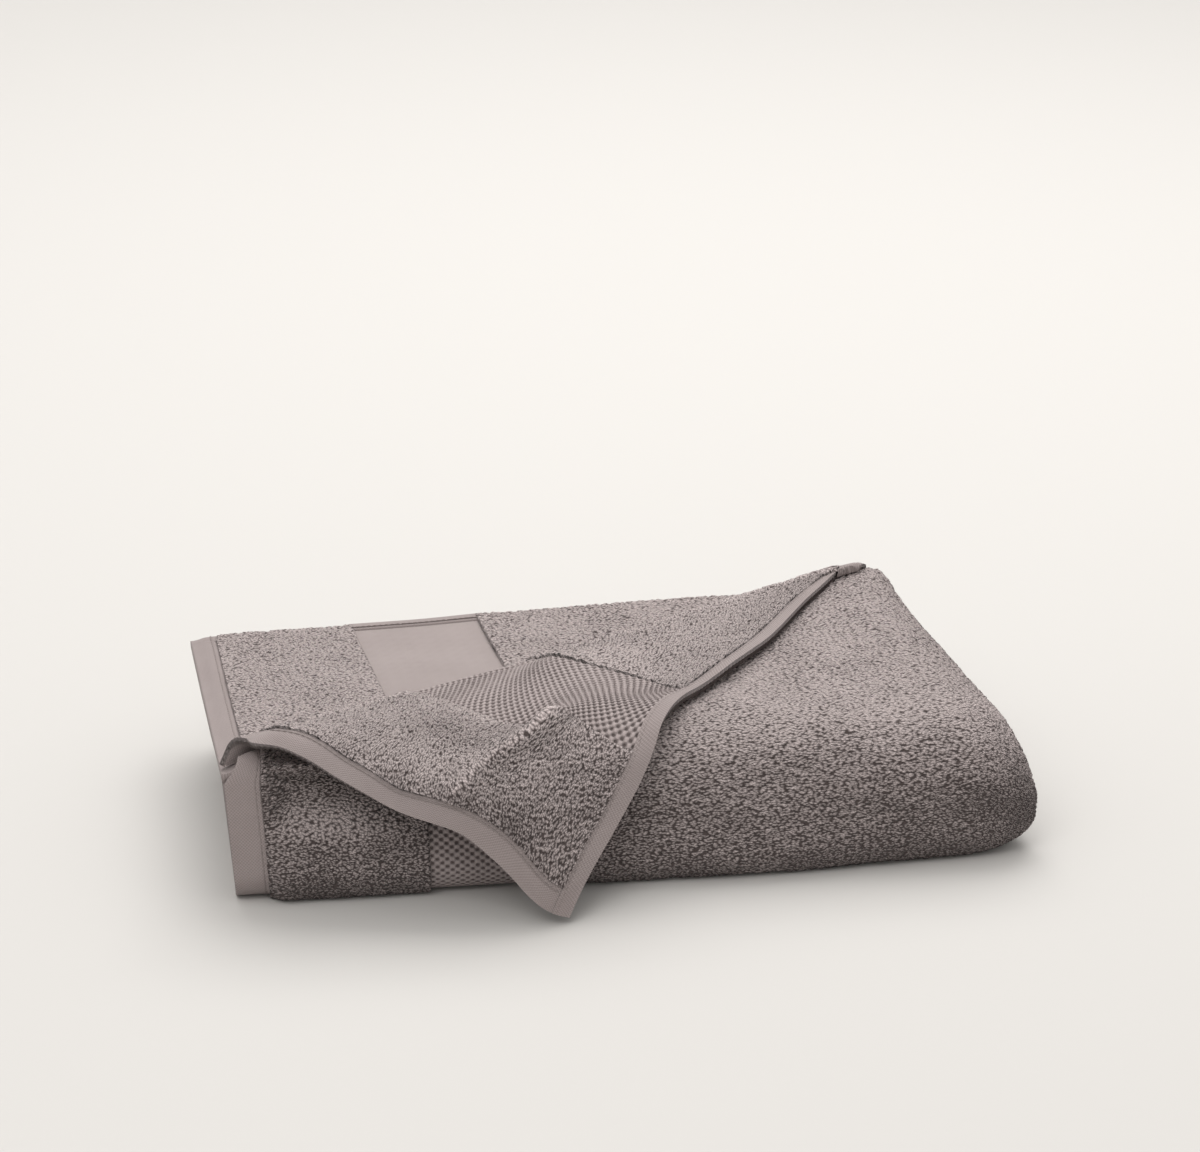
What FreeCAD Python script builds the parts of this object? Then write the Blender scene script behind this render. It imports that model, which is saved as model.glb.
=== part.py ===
"""Folded terry bath towel with its top corner turned back over the front fold.

Millimetres, +Z up. The origin is on the resting face, at the middle of the whole object's length and
depth. The front fold faces -Y and the towel's end hem is at the -X end.
"""

import FreeCAD, Part
import Sketcher
import math
import os

from FreeCAD import Placement, Rotation, Vector

doc = FreeCAD.newDocument("folded_bath_towel")

# ---------------------------------------------------------------- driving dimensions

DIMENSIONS = {
    "left_x": -200.0,  # the towel's end
    "right_x": 203.4,  # right end along the front, before its edges are rolled
    "back_right_x": 150.0,  # right end along the back edge: the end slants
    "pack_length": 420.0,  # longer than the pack, for parts that are trimmed to it
    "front_y": -75.8,  # front face of the front fold
    "back_y": 124.2,  # back edge
    "pack_height": 74.0,  # resting face to the top of the outer layer
    "cloth": 6.0,  # one layer of terry, pile on both faces
    "woven": 4.5,  # one layer of hem or border, which has no pile
    "recess": 1.5,  # hem and border lie below the pile's face
    "lay_gap": 0.5,  # between cloth that lies on cloth
    "under_top": 66.5,  # top of the layer under the turned-back corner
    "top_radius": 26.0,  # roll of the outer layer over the front fold
    "foot_radius": 12.0,  # roll of the outer layer under the front fold
    "end_radius": 9.0,  # roll of the outer layer round the right end
    "end_hem": 17.0,  # woven hem across the towel's end
    "side_hem": 9.0,  # rolled hem along the towel's long side
    "border_start": 96.0,  # towel's end to the dobby border
    "border_width": 66.0,  # dobby border across the towel
    "tip_hinge_y": -72.5,  # line where the corner bends over the front fold
    "crease_lift": 0.3,  # crease axis above the outer layer
    "crease_clear": 6.6,  # crease axis to the turned-back panel
    "tip_clear": 3.4,  # bend axis to the panel and to the hanging tip
    "side_x": 7.0,  # where the corner's side hem meets the bend
    "tip_x": -42.0,  # the corner's point, along the front
    "tip_length": 88.0,  # bend to the corner's point, along the slope
    "tip_drop": 55.0,  # slope of the hanging tip, in degrees
    "fold_count": 4.0,  # folded sections inside
    "setback": 3.0,  # inner sections stand back from the end and back edges
    "stitch": 1.0,  # width of a line of stitches
    "proud": 0.4,  # how far a line of stitches stands out
    "stitch_inset": 2.0,  # line of stitches to the inner edge of its hem
}

sheet = doc.addObject("Spreadsheet::Sheet", "dimensions")
for row, (alias, number) in enumerate(DIMENSIONS.items(), start=1):
    sheet.set(f"A{row}", alias)
    sheet.set(f"B{row}", str(number))
    sheet.setAlias(f"B{row}", alias)
doc.recompute()

LEFT = "@left_x"
PANEL_FOOT = "@pack_height + 2 * @crease_lift"
AXIS_Z = "@pack_height + @crease_lift"
BEND_Z = "@pack_height + 2 * @crease_lift + @cloth / 2"
FAR = 300  # reaches past the object in every direction


def size(alias):
    """The number in one cell of the sheet."""
    return float(getattr(sheet, alias))


def bind(item, **expressions):
    """Binds properties to expressions; @ marks an alias and a double underscore stands for a dot."""
    for name, text in expressions.items():
        item.setExpression(name.replace("__", "."), str(text).replace("@", "dimensions."))


def box(name, low, lengths, frame=None):
    """A box from its low corner and its three lengths, which are expressions; frame moves it whole."""
    item = doc.addObject("Part::Box", name)
    bind(item, Length=lengths[0], Width=lengths[1], Height=lengths[2])
    if frame is None:
        bind(item, Placement__Base__x=low[0], Placement__Base__y=low[1], Placement__Base__z=low[2])
        return item
    probe = doc.addObject("Part::Vertex", name + "_corner")
    bind(probe, X=low[0], Y=low[1], Z=low[2])
    doc.recompute()
    corner = Vector(probe.X.Value, probe.Y.Value, probe.Z.Value)
    item.Placement = frame.multiply(Placement(corner, Rotation()))
    return item


def common(name, *items):
    """The solid that all the items share."""
    item = doc.addObject("Part::MultiCommon", name)
    item.Shapes = list(items)
    return item


def cut(name, base, tool):
    """The base without the tool."""
    item = doc.addObject("Part::Cut", name)
    item.Base = base
    item.Tool = tool
    return item


parts = []


def sub_part(item, label):
    """Makes an object one of the parts, under the name that its file gets."""
    item.Label = label
    parts.append(item)
    return item


def xy_plane(body):
    """The body's own level plane."""
    return next(f for f in body.Origin.OriginFeatures if f.Role == "XY_Plane")


def prism(name, corners, base, height):
    """A body whose plan is a polygon; every corner is a pair of expressions."""
    body = doc.addObject("PartDesign::Body", name)
    sketch = body.newObject("Sketcher::SketchObject", name + "_plan")
    sketch.AttachmentSupport = (xy_plane(body), [""])
    sketch.MapMode = "FlatFace"
    bind(sketch, AttachmentOffset__Base__z=base)
    probe = doc.addObject("Part::Vertex", name + "_corner")
    points = []
    for x, y in corners:
        bind(probe, X=x, Y=y)
        doc.recompute()
        points.append(Vector(probe.X.Value, probe.Y.Value, 0))
    count = len(points)
    for number in range(count):
        line = Part.LineSegment(points[number], points[(number + 1) % count])
        sketch.addGeometry(line, False)
    for number in range(count):
        sketch.addConstraint(Sketcher.Constraint("Coincident", number, 2, (number + 1) % count, 1))
        for kind, text, value in (
            ("DistanceX", corners[number][0], points[number].x),
            ("DistanceY", corners[number][1], points[number].y),
        ):
            held = sketch.addConstraint(Sketcher.Constraint(kind, -1, 1, number, 1, value))
            bind(sketch, **{f"Constraints[{held}]": text})
    pad = body.newObject("PartDesign::Pad", name + "_pad")
    pad.Profile = sketch
    bind(pad, Length=height)
    body.Tip = pad
    doc.recompute()
    return body


# ---------------------------------------------------------------- the block that the outer layer wraps


def round_edges(body, name, radius, test):
    """Fillets the edges of the body whose middle passes the test."""
    base = body.Tip
    wanted = []
    for number, edge in enumerate(base.Shape.Edges, start=1):
        if test(edge.CenterOfMass, edge):
            wanted.append(f"Edge{number}")
    fillet = body.newObject("PartDesign::Fillet", f"{body.Name}_{name}")
    fillet.Base = (base, wanted)
    bind(fillet, Radius=radius)
    body.Tip = fillet
    doc.recompute()


def wrapped_block(name, inset, past):
    """The pack's block, inset from front, right end, top and foot, and running past its open sides.

    The long rolls over and under the front fold are fillets; the right end slants.
    """
    corners = [
        (f"{LEFT} - {past}", f"@front_y + {inset}"),
        (f"@right_x - {inset}", f"@front_y + {inset}"),
        (f"@back_right_x - {inset}", f"@back_y + {past}"),
        (f"{LEFT} - {past}", f"@back_y + {past}"),
    ]
    body = prism(name, corners, inset, f"@pack_height - 2 * ({inset})")
    limits = body.Shape.BoundBox
    middle = (limits.ZMin + limits.ZMax) / 2

    def along_front(point, edge):
        return abs(point.y - limits.YMin) < 0.01 and abs(point.z - middle) > 1

    def over(point, edge):
        return along_front(point, edge) and point.z > middle

    def under(point, edge):
        return along_front(point, edge) and point.z < middle

    def right_end(point, edge):
        slanting = abs(point.y - (limits.YMin + limits.YMax) / 2) < 0.2 * limits.YLength
        return slanting and point.x > limits.XMax / 2 and abs(point.z - middle) > 1

    round_edges(body, "over", f"@top_radius - {inset}", over)
    round_edges(body, "under", f"@foot_radius - {inset}", under)
    round_edges(body, "end", f"@end_radius - {inset}", right_end)
    return body


pile_face = wrapped_block("pile_face", "0", "0")
woven_face = wrapped_block("woven_face", "@recess", "0")
hollow = wrapped_block("hollow", "@cloth", "20")
filling = wrapped_block("filling", "(@cloth + @lay_gap)", "0")

# ---------------------------------------------------------------- the crease of the turned-back corner

crease_start = Vector(size("left_x"), size("tip_hinge_y"), 0)
crease_end = Vector(size("back_right_x"), size("back_y"), 0)
crease_line = crease_end - crease_start
crease_angle = math.degrees(math.atan2(crease_line.y, crease_line.x))
UP = Vector(0, 0, 1)
crease_frame = Placement(crease_start, Rotation(UP, crease_angle))
panel_frame = Placement(crease_start, Rotation(UP, 2 * crease_angle))

open_corner = box(
    "open_corner", ("-100", "0", "@pack_height - 20"), ("600", FAR, "40"), crease_frame
)

# ---------------------------------------------------------------- outer layer, wrapped round the pack

ZONES = [
    # label end, start and length along the towel, whether the cloth has pile there
    ("end_hem", "0", "@end_hem", False),
    ("terry_end", "@end_hem", "@border_start - @end_hem", True),
    ("border", "@border_start", "@border_width", False),
    ("terry_main", "@border_start + @border_width", "@pack_length", True),
]


def zone_box(name, start, length):
    """All of the space between two distances from the towel's end."""
    low = (f"{LEFT} + {start}", -FAR, -FAR)
    return box(name, low, (length, 2 * FAR, 2 * FAR))


for label, start, length, pile in ZONES:
    face = pile_face if pile else woven_face
    block = common(f"wrap_{label}_block", face, zone_box(f"wrap_{label}_zone", start, length))
    shell = cut(f"wrap_{label}_shell", block, hollow)
    sub_part(cut(f"wrap_{label}", shell, open_corner), f"wrap_{label}")

# ---------------------------------------------------------------- layer under the turned-back corner

under_foot = "@under_top - @cloth"
for label, start, length, pile in ZONES:
    thickness = "@cloth" if pile else "@woven"
    low = (f"{LEFT} + {start}", -FAR, under_foot)
    depth = f"{FAR} + @back_y - @side_hem"
    zone = box(f"under_{label}_zone", low, (length, depth, thickness))
    sub_part(common(f"under_{label}", filling, zone), f"under_{label}")

low = (LEFT, "@back_y - @side_hem", under_foot)
side_zone = box("under_side_hem_zone", low, ("@pack_length", "@side_hem", "@woven"))
sub_part(common("under_side_hem", filling, side_zone), "under_side_hem")

# ---------------------------------------------------------------- folded sections inside

rise = f"((@under_top - 2 * @cloth - @lay_gap) / @fold_count)"
for number in range(int(size("fold_count"))):
    low = (f"{LEFT} + @setback", -FAR, f"@cloth + @lay_gap + {number} * {rise}")
    lengths = ("@pack_length", f"{FAR} + @back_y - @setback", f"{rise} - @lay_gap")
    layer = box(f"inner_zone_{number + 1}", low, lengths)
    sub_part(common(f"inner_fold_{number + 1}", filling, layer), f"inner_fold_{number + 1}")

# ---------------------------------------------------------------- crease roll

rod = doc.addObject("Part::Cylinder", "crease_rod")
bind(rod, Radius="@crease_clear - 0.3", Height="500")
rod.Placement = Placement(
    crease_start + Vector(0, 0, size("pack_height") + size("crease_lift")),
    Rotation(UP, crease_angle).multiply(Rotation(Vector(0, 1, 0), 90)),
)
over_pack = box(
    "over_pack",
    (LEFT, "@front_y", "0"),
    ("@back_right_x - @left_x", "@back_y - @front_y", FAR),
)
rod_in_plan = common("rod_in_plan", rod, over_pack)
lying = box("lying_side", ("-100", -FAR, "0"), ("600", FAR, AXIS_Z), crease_frame)
sub_part(cut("crease_roll", rod_in_plan, lying), "crease_roll")

# ---------------------------------------------------------------- turned-back panel of the corner

panel_corners = [
    (LEFT, "@tip_hinge_y + @tip_clear"),
    ("@side_x", "@tip_hinge_y + @tip_clear"),
    ("@back_right_x", "@back_y"),
]
panel_pile = prism("panel_pile", panel_corners, PANEL_FOOT, "@cloth")
panel_woven = prism("panel_woven", panel_corners, PANEL_FOOT, "@woven")
beyond_crease = box(
    "beyond_crease", ("-100", f"-{FAR} - @crease_clear", "0"), ("600", FAR, FAR), crease_frame
)

side_start = Vector(size("side_x"), size("tip_hinge_y") + size("tip_clear"), 0)
side_line = crease_end - side_start
side_angle = math.degrees(math.atan2(side_line.y, side_line.x))
side_frame = Placement(side_start, Rotation(UP, side_angle))
panel_inside = box("panel_inside", ("-100", "@side_hem", "0"), ("600", FAR, FAR), side_frame)
panel_edge = box("panel_edge", ("-100", "-10", "0"), ("600", "@side_hem + 10", FAR), side_frame)

PANEL_ZONES = [
    ("terry_end", "-50", "@border_start + 50", panel_pile),
    ("border", "@border_start", "@border_width", panel_woven),
    ("terry_main", "@border_start + @border_width", FAR, panel_pile),
]
for label, start, length, slab in PANEL_ZONES:
    zone = box(f"flap_{label}_zone", (start, -FAR, "0"), (length, 2 * FAR, FAR), panel_frame)
    solid = common(f"flap_{label}", slab, beyond_crease, panel_inside, zone)
    sub_part(solid, f"flap_{label}")
sub_part(common("flap_side_hem", panel_woven, beyond_crease, panel_edge), "flap_side_hem")

# ---------------------------------------------------------------- tip that hangs over the front fold

tip_frame = Placement(
    Vector(0, size("tip_hinge_y"), size("pack_height") + 2 * size("crease_lift") + size("cloth") / 2),
    Rotation(Vector(1, 0, 0), size("tip_drop")),
)
tip_corners = [(LEFT, "0"), ("@tip_x", "-@tip_length"), ("@side_x", "0")]
tip_pile = prism("tip_pile", tip_corners, "-@cloth / 2", "@cloth")
tip_woven = prism("tip_woven", tip_corners, "-@cloth / 2", "@woven")


def edge_frame(start, end):
    """A frame in the tip's plane whose first axis runs along one of its edges."""
    along = end - start
    turn = Rotation(UP, math.degrees(math.atan2(along.y, along.x)))
    return Placement(start, turn)


tip_left = Vector(size("left_x"), 0, 0)
tip_point = Vector(size("tip_x"), -size("tip_length"), 0)
tip_right = Vector(size("side_x"), 0, 0)
end_frame = edge_frame(tip_left, tip_point)
free_frame = edge_frame(tip_point, tip_right)
end_strip = box("tip_end_strip", ("-50", "-10", -FAR), ("600", "@end_hem + 10", 2 * FAR), end_frame)
end_inside = box("tip_end_inside", ("-50", "@end_hem", -FAR), ("600", FAR, 2 * FAR), end_frame)
side_strip = box("tip_side_strip", ("-50", "-10", -FAR), ("600", "@side_hem + 10", 2 * FAR), free_frame)
side_inside = box("tip_side_inside", ("-50", "@side_hem", -FAR), ("600", FAR, 2 * FAR), free_frame)
tip_reach = box(
    "tip_reach",
    (f"{LEFT} + 13.5", "-@tip_length - 10", -FAR),
    ("@pack_length", "@tip_length + 10 - @tip_clear", 2 * FAR),
)

tip_solids = [
    (common("tip_terry", tip_pile, tip_reach, end_inside, side_inside), "tip_terry"),
    (common("tip_end_hem", tip_woven, tip_reach, end_strip, side_inside), "tip_end_hem"),
    (common("tip_side_hem", tip_woven, tip_reach, side_strip), "tip_side_hem"),
]

# ---------------------------------------------------------------- bead where the corner bends

bead = doc.addObject("Part::Cylinder", "bead_rod")
bind(bead, Radius="@tip_clear - 0.4", Height="@side_x - @left_x - 20")
bead.Placement = Placement(
    tip_frame.Base + Vector(size("left_x") + 20, 0, 0), Rotation(Vector(0, 1, 0), 90)
)
sub_part(bead, "flap_bend")

# ---------------------------------------------------------------- lines of stitches along the hems

hem_line = "@end_hem - @stitch_inset - @stitch"
side_stitch = "@side_hem - @stitch_inset - @stitch"

low = (f"{LEFT} + {hem_line}", "@front_y + @recess - @proud", "@foot_radius + 2")
lengths = ("@stitch", "@proud", "@pack_height - @foot_radius - @top_radius - 4")
sub_part(box("wrap_end_hem_thread", low, lengths), "wrap_end_hem_thread")

low = (f"{LEFT} + {hem_line}", "@tip_hinge_y + 30", "@under_top - @cloth + @woven")
lengths = ("@stitch", "@back_y - @side_hem - @tip_hinge_y - 32", "@proud")
sub_part(box("under_end_hem_thread", low, lengths), "under_end_hem_thread")

low = (f"{LEFT} + 2", "@back_y - @side_hem + @stitch_inset", "@under_top - @cloth + @woven")
lengths = ("@back_right_x - @left_x - 20", "@stitch", "@proud")
sub_part(box("under_side_hem_thread", low, lengths), "under_side_hem_thread")

low = ("6", side_stitch, f"{PANEL_FOOT} + @woven")
lengths = ("200", "@stitch", "@proud")
sub_part(box("flap_side_hem_thread", low, lengths, side_frame), "flap_side_hem_thread")

for item, label in tip_solids:
    doc.recompute()
    item.Placement = tip_frame
    sub_part(item, label)

for label, frame, inset, start, length in (
    ("tip_end_hem_thread", end_frame, hem_line, "40", "@tip_length + 32"),
    ("tip_side_hem_thread", free_frame, side_stitch, "24", "@tip_length - 24"),
):
    low = (start, inset, "@woven - @cloth / 2")
    lengths = (length, "@stitch", "@proud")
    sub_part(box(label, low, lengths, tip_frame.multiply(frame)), label)

# ---------------------------------------------------------------- checks and export

doc.recompute()
for item in doc.Objects:
    if "Invalid" in item.State or "Error" in item.State:
        raise RuntimeError(f"{item.Name} is in state {item.State}")

os.makedirs("parts", exist_ok=True)
for item in parts:
    if item.Shape.isNull() or not item.Shape.isValid():
        raise RuntimeError(f"{item.Label} has no valid shape")
    if len(item.Shape.Solids) != 1:
        raise RuntimeError(f"{item.Label} has {len(item.Shape.Solids)} solids")
    item.Shape.exportStep(f"parts/{item.Label}.step")
    print(item.Label, item.Shape.BoundBox)
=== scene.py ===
import math

import bpy
import numpy as np
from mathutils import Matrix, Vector


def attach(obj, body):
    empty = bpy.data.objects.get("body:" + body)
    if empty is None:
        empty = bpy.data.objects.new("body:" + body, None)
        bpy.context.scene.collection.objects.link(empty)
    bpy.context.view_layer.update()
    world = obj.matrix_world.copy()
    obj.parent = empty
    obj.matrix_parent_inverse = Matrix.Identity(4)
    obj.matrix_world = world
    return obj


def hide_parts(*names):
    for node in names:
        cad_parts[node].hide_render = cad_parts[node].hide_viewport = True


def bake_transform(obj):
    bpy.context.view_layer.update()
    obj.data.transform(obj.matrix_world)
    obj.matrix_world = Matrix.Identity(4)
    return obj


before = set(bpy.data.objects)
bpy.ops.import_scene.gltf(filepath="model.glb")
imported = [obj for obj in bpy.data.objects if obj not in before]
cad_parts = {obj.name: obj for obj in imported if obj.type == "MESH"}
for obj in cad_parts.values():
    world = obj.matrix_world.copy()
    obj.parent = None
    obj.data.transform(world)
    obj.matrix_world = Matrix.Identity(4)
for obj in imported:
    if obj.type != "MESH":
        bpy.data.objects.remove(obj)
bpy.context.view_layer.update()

# Lengths below are millimetres in the row frame, and MM turns them into metres.
MM = 0.001

# ---------------------------------------------------------------- the towel's cut and weave

END_HEM = 17.0
SIDE_HEM = 9.0
BORDER_START = 96.0
BORDER_END = 162.0
PILE = 5.2  # thickness of the terry, loops left out
WOVEN = 3.4  # thickness of hem and border
LOOP_PITCH = 2.6
LOOP_HEIGHT = 1.1
HONEYCOMB_PITCH = 3.7
HEM_YARN = 1.6
STITCH_U = 14.5  # line of stitches to the towel's end
STITCH_PITCH = 3.0
THREAD_RADIUS = 0.42
GRID = 0.9  # spacing of the visible meshes

# ---------------------------------------------------------------- the folded pack

LEFT = -200.0
FRONT = -75.8
BACK = 124.2
RIGHT_FRONT = 197.5
RIGHT_BACK = 171.0
WIDTH = BACK - FRONT
PACK_HEIGHT = 74.0  # at the front left
CAP = 38.0  # reach of the rounded right end
CREASE_END = np.array([150.0, 124.2])
CREASE_START = np.array([-200.0, -72.5])
CREASE_DIR = (CREASE_END - CREASE_START) / np.linalg.norm(CREASE_END - CREASE_START)
CREASE_NORMAL = np.array([CREASE_DIR[1], -CREASE_DIR[0]])


def smooth(t):
    """0 to 1 with a level start and end."""
    t = np.clip(t, 0.0, 1.0)
    return t * t * (3 - 2 * t)


# ---------------------------------------------------------------- noise and weave patterns


def chance(i, j, seed):
    """A repeatable number from 0 to 1 for each whole-number pair."""
    n = (i.astype(np.int64) * 374761393 + j.astype(np.int64) * 668265263 + seed * 974711) & 0xFFFFFFFF
    n = ((n ^ (n >> 13)) * 1274126177) & 0xFFFFFFFF
    return ((n ^ (n >> 16)) & 0xFFFF) / 65535.0


def soft_noise(u, w, pitch, seed):
    """Smooth noise from -1 to 1."""
    x, y = u / pitch, w / pitch
    i, j = np.floor(x), np.floor(y)
    a, b = smooth(x - i), smooth(y - j)
    low = chance(i, j, seed) * (1 - a) + chance(i + 1, j, seed) * a
    high = chance(i, j + 1, seed) * (1 - a) + chance(i + 1, j + 1, seed) * a
    return 2 * (low * (1 - b) + high * b) - 1


def loops(u, w, seed):
    """Height from 0 to 1 of terry loops: small leaning domes, one in each jittered cell."""
    x, y = u / LOOP_PITCH, w / LOOP_PITCH
    i, j = np.floor(x), np.floor(y)
    best = np.zeros(np.shape(u))
    for di in (-1, 0, 1):
        for dj in (-1, 0, 1):
            ci, cj = i + di, j + dj
            cx = ci + 0.5 + 0.8 * (chance(ci, cj, seed) - 0.5)
            cy = cj + 0.5 + 0.8 * (chance(ci, cj, seed + 1) - 0.5)
            turn = math.pi * chance(ci, cj, seed + 2)
            dx, dy = x - cx, y - cy
            along = dx * np.cos(turn) + dy * np.sin(turn)
            across = dy * np.cos(turn) - dx * np.sin(turn)
            distance = (along / 0.75) ** 2 + (across / 0.42) ** 2
            tall = 0.55 + 0.45 * chance(ci, cj, seed + 3)
            best = np.maximum(best, tall * np.sqrt(np.clip(1 - distance, 0, None)))
    return best


def terry_height(u, w, seed):
    """Height of the pile in millimetres: its loops, and patches where it is pressed down."""
    patches = 0.25 * soft_noise(u, w, 9.0, seed + 7) + 0.35 * soft_noise(u, w, 30.0, seed + 8)
    return LOOP_HEIGHT * (loops(u, w, seed) + patches)


def honeycomb(u, w):
    """Height from 0 to 1 of a honeycomb weave: walls round sunken cells, in offset rows."""
    along, across = u / (1.35 * HONEYCOMB_PITCH), w / HONEYCOMB_PITCH
    total = np.cos(2 * math.pi * (along + across)) + np.cos(2 * math.pi * (along - across))
    return 1 - np.clip((total + 0.4) / 2.0, 0, 1)


def plain_weave(u, w, pitch=1.3):
    """Height from 0 to 1 of a plain weave: threads over and under."""
    return 0.5 + 0.5 * np.sin(2 * math.pi * u / pitch) * np.sin(2 * math.pi * w / pitch)


# ---------------------------------------------------------------- materials


class Nodes:
    """Short names for adding and joining the nodes of one material."""

    def __init__(self, tree):
        self.tree = tree

    def add(self, kind, **settings):
        node = self.tree.nodes.new("ShaderNode" + kind)
        for name, value in settings.items():
            setattr(node, name, value)
        return node

    def join(self, source, target):
        self.tree.links.new(source, target)

    def value(self, node, name, number):
        node.inputs[name].default_value = number

    def noise(self, vector, scale, detail):
        node = self.add("TexNoise")
        self.value(node, "Scale", scale)
        self.value(node, "Detail", detail)
        self.join(vector, node.inputs["Vector"])
        return node

    def maths(self, operation, first, second):
        node = self.add("Math", operation=operation)
        for socket, term in zip(node.inputs, (first, second)):
            if isinstance(term, (int, float)):
                socket.default_value = term
            else:
                self.join(term, socket)
        return node.outputs["Value"]

    def spread(self, source, low, high, new_low, new_high):
        node = self.add("MapRange", clamp=True)
        self.value(node, "From Min", low)
        self.value(node, "From Max", high)
        self.value(node, "To Min", new_low)
        self.value(node, "To Max", new_high)
        self.join(source, node.inputs["Value"])
        return node.outputs["Result"]


def loop_pattern(nodes, uv):
    """Terry: short loops that lie in many directions, 0 in a gap and 1 on a loop."""
    tone = None
    for angle in (0.35, 1.4, 2.45):
        turned = nodes.add("Mapping")
        turned.inputs["Rotation"].default_value = (0.0, 0.0, angle)
        turned.inputs["Scale"].default_value = (0.66, 1.2, 1.0)
        nodes.join(uv, turned.inputs["Vector"])
        cell = nodes.add("TexVoronoi", voronoi_dimensions="2D", feature="F1")
        nodes.value(cell, "Scale", 620.0)
        nodes.join(turned.outputs["Vector"], cell.inputs["Vector"])
        loop = nodes.spread(cell.outputs["Distance"], 0.08, 0.56, 1.0, 0.0)
        tone = loop if tone is None else nodes.maths("MAXIMUM", tone, loop)
    return tone


def honeycomb_pattern(nodes, uv):
    """Honeycomb: sunken cells in offset rows, 0 in a cell and 1 on the walls between them."""
    pitch = HONEYCOMB_PITCH * MM
    split = nodes.add("SeparateXYZ")
    nodes.join(uv, split.inputs["Vector"])
    along = nodes.maths("DIVIDE", split.outputs["X"], 1.35 * pitch)
    across = nodes.maths("DIVIDE", split.outputs["Y"], pitch)
    total = nodes.maths("ADD", along, across)
    difference = nodes.maths("SUBTRACT", along, across)
    first = nodes.maths("COSINE", nodes.maths("MULTIPLY", total, 2 * math.pi), 0)
    second = nodes.maths("COSINE", nodes.maths("MULTIPLY", difference, 2 * math.pi), 0)
    return nodes.spread(nodes.maths("ADD", first, second), -0.8, 1.6, 1.0, 0.0)


def rib_pattern(nodes, uv, pitch):
    """Fine threads over and under, 0 at their lowest and 1 at their highest."""
    split = nodes.add("SeparateXYZ")
    nodes.join(uv, split.inputs["Vector"])
    first = nodes.maths("SINE", nodes.maths("MULTIPLY", split.outputs["X"], 2 * math.pi / pitch), 0)
    second = nodes.maths("SINE", nodes.maths("MULTIPLY", split.outputs["Y"], 2 * math.pi / pitch), 0)
    return nodes.spread(nodes.maths("MULTIPLY", first, second), -1.0, 1.0, 0.0, 1.0)


def cloth_material(name, pattern, depth, shaded_gap_colour, colour, strength, sheen, painted_upright_shade=0.0):
    """Cotton: the weave's own relief, painted shade in its gaps, colour that wanders from yarn to yarn,
    and a sheen.

    Upright faces get painted shade: the tone is lowered there, most where the cloth stands vertical."""
    made = bpy.data.materials.new(name)
    made.use_nodes = True
    nodes = Nodes(made.node_tree)
    shader = made.node_tree.nodes["Principled BSDF"]
    place = nodes.add("UVMap", uv_map="cloth").outputs["UV"]
    weave = pattern(nodes, place)
    yarn = nodes.noise(place, 1900.0, 3.0).outputs["Fac"]
    broad = nodes.noise(place, 38.0, 3.0).outputs["Fac"]
    height = nodes.maths("ADD", weave, nodes.maths("MULTIPLY", yarn, 0.35))
    relief = nodes.add("Bump")
    nodes.value(relief, "Strength", strength)
    nodes.value(relief, "Distance", depth)
    nodes.join(height, relief.inputs["Height"])
    nodes.join(relief.outputs["Normal"], shader.inputs["Normal"])
    patch = nodes.spread(broad, 0.3, 0.7, -0.10, 0.10)
    thread = nodes.spread(yarn, 0.3, 0.7, -0.14, 0.14)
    tone = nodes.maths("ADD", weave, nodes.maths("ADD", patch, thread))
    # Painted shade: faces that stand upright get a lower tone, so they come out darker.
    upright = nodes.add("SeparateXYZ")
    nodes.join(nodes.add("NewGeometry").outputs["Normal"], upright.inputs["Vector"])
    tone = nodes.maths("SUBTRACT", tone, nodes.spread(upright.outputs["Z"], 0.0, 0.9, painted_upright_shade, 0.0))
    # The ramp paints shade into the weave: its gaps, sunken cells and low threads get the dark colour,
    # and its loops and walls the light one. The yarn and patch noise move the tone at random, as the
    # cloth's own colour.
    ramp = nodes.add("ValToRGB")
    ramp.color_ramp.elements[0].color = (*shaded_gap_colour, 1.0)
    ramp.color_ramp.elements[1].color = (*colour, 1.0)
    ramp.color_ramp.elements[1].position = 0.85
    nodes.join(tone, ramp.inputs["Fac"])
    nodes.join(ramp.outputs["Color"], shader.inputs["Base Color"])
    nodes.join(nodes.spread(yarn, 0.3, 0.7, 0.82, 0.98), shader.inputs["Roughness"])
    shader.inputs["Sheen Weight"].default_value = sheen
    shader.inputs["Sheen Roughness"].default_value = 0.5
    shader.inputs["Specular IOR Level"].default_value = 0.15
    return made


def hem_pattern(nodes, uv):
    """The plain weave of a hem."""
    return rib_pattern(nodes, uv, HEM_YARN * MM)


def thread_pattern(nodes, uv):
    """The twist of the sewing thread."""
    return rib_pattern(nodes, uv, 0.7 * MM)


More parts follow.
